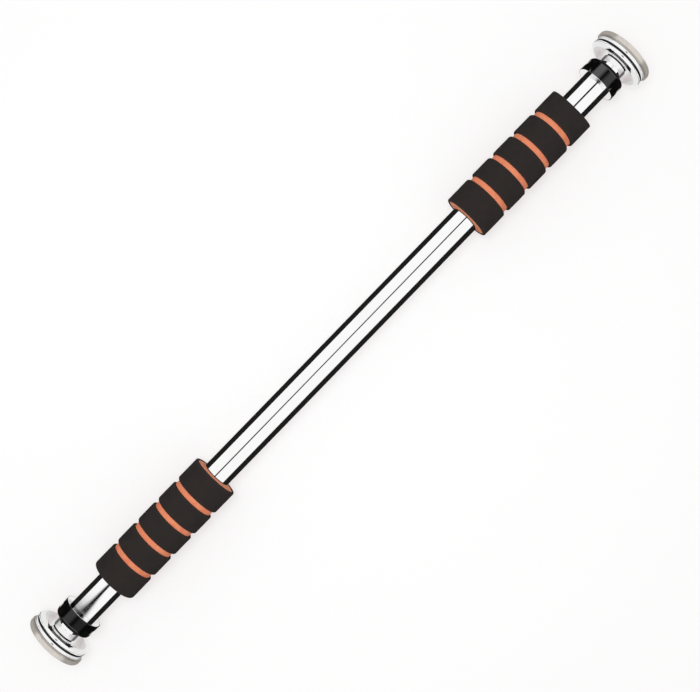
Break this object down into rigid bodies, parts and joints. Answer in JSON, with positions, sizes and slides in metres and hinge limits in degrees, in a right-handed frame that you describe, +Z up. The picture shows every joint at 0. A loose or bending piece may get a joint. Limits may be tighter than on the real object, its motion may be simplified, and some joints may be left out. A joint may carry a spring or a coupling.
{
  "type": "pull up bar",
  "caption": "Doorway pull up bar: chrome tube with grooved two-tone foam grips, black end collars and screw-out chrome feet with ribbed pads.",
  "frame": {"origin": "the middle of the closed bar, on its axis, half way between the two pad faces", "axes": "+X along the bar towards the right foot, +Z up, as the bar hangs level in a doorway"},
  "size_m": [0.7646, 0.06, 0.06],
  "materials": {
    "chrome_tube": "polished",
    "chrome_cup": "polished",
    "collar_plastic": "gloss",
    "foam_black": "matte",
    "foam_orange": "matte",
    "pad_rubber": "satin",
    "nylon": "satin",
    "plain_steel": "satin",
    "zinc_steel": "satin"
  },
  "bodies": {
    "left_foot": {"left_inner_tube": "chrome_tube", "left_nut": "nylon", "left_end_plug": "plain_steel", "left_foot_cup": "chrome_cup", "left_pad": "pad_rubber", "left_pad_washer": "zinc_steel", "left_pad_screw": "zinc_steel"},
    "left_glide": {"left_glide_ring": "nylon"},
    "bar": {"outer_tube": "chrome_tube", "left_collar": "collar_plastic", "left_collar_trim": "chrome_tube", "left_grip_core": "foam_orange", "left_grip_band_1": "foam_black", "left_grip_band_2": "foam_black", "left_grip_band_3": "foam_black", "left_grip_band_4": "foam_black", "left_grip_band_5": "foam_black", "left_anchor": "plain_steel", "left_anchor_pin": "plain_steel", "left_lead_screw": "zinc_steel", "left_screw_stop": "plain_steel", "right_collar": "collar_plastic", "right_collar_trim": "chrome_tube", "right_grip_core": "foam_orange", "right_grip_band_1": "foam_black", "right_grip_band_2": "foam_black", "right_grip_band_3": "foam_black", "right_grip_band_4": "foam_black", "right_grip_band_5": "foam_black", "right_anchor": "plain_steel", "right_anchor_pin": "plain_steel", "right_lead_screw": "zinc_steel", "right_screw_stop": "plain_steel"},
    "right_glide": {"right_glide_ring": "nylon"},
    "right_foot": {"right_inner_tube": "chrome_tube", "right_nut": "nylon", "right_end_plug": "plain_steel", "right_foot_cup": "chrome_cup", "right_pad": "pad_rubber", "right_pad_washer": "zinc_steel", "right_pad_screw": "zinc_steel"}
  },
  "joints": [
    {"name": "left_turn", "type": "hinge", "parent": "left_foot", "child": "left_glide", "pos_m": [0, 0, 0], "axis": [1, 0, 0], "range_deg": [0, 9360]},
    {"name": "left_extend", "type": "slide", "parent": "left_glide", "child": "bar", "axis": [1, 0, 0], "range_m": [0, 0.13]},
    {"name": "right_extend", "type": "slide", "parent": "bar", "child": "right_glide", "axis": [1, 0, 0], "range_m": [0, 0.13]},
    {"name": "right_turn", "type": "hinge", "parent": "right_glide", "child": "right_foot", "pos_m": [0, 0, 0], "axis": [-1, 0, 0], "range_deg": [0, 9360]}
  ],
  "couplings": [
    {"joint": "left_extend", "follows": "left_turn", "m_per_rad": 0.00079577},
    {"joint": "right_extend", "follows": "right_turn", "m_per_rad": 0.00079577}
  ]
}
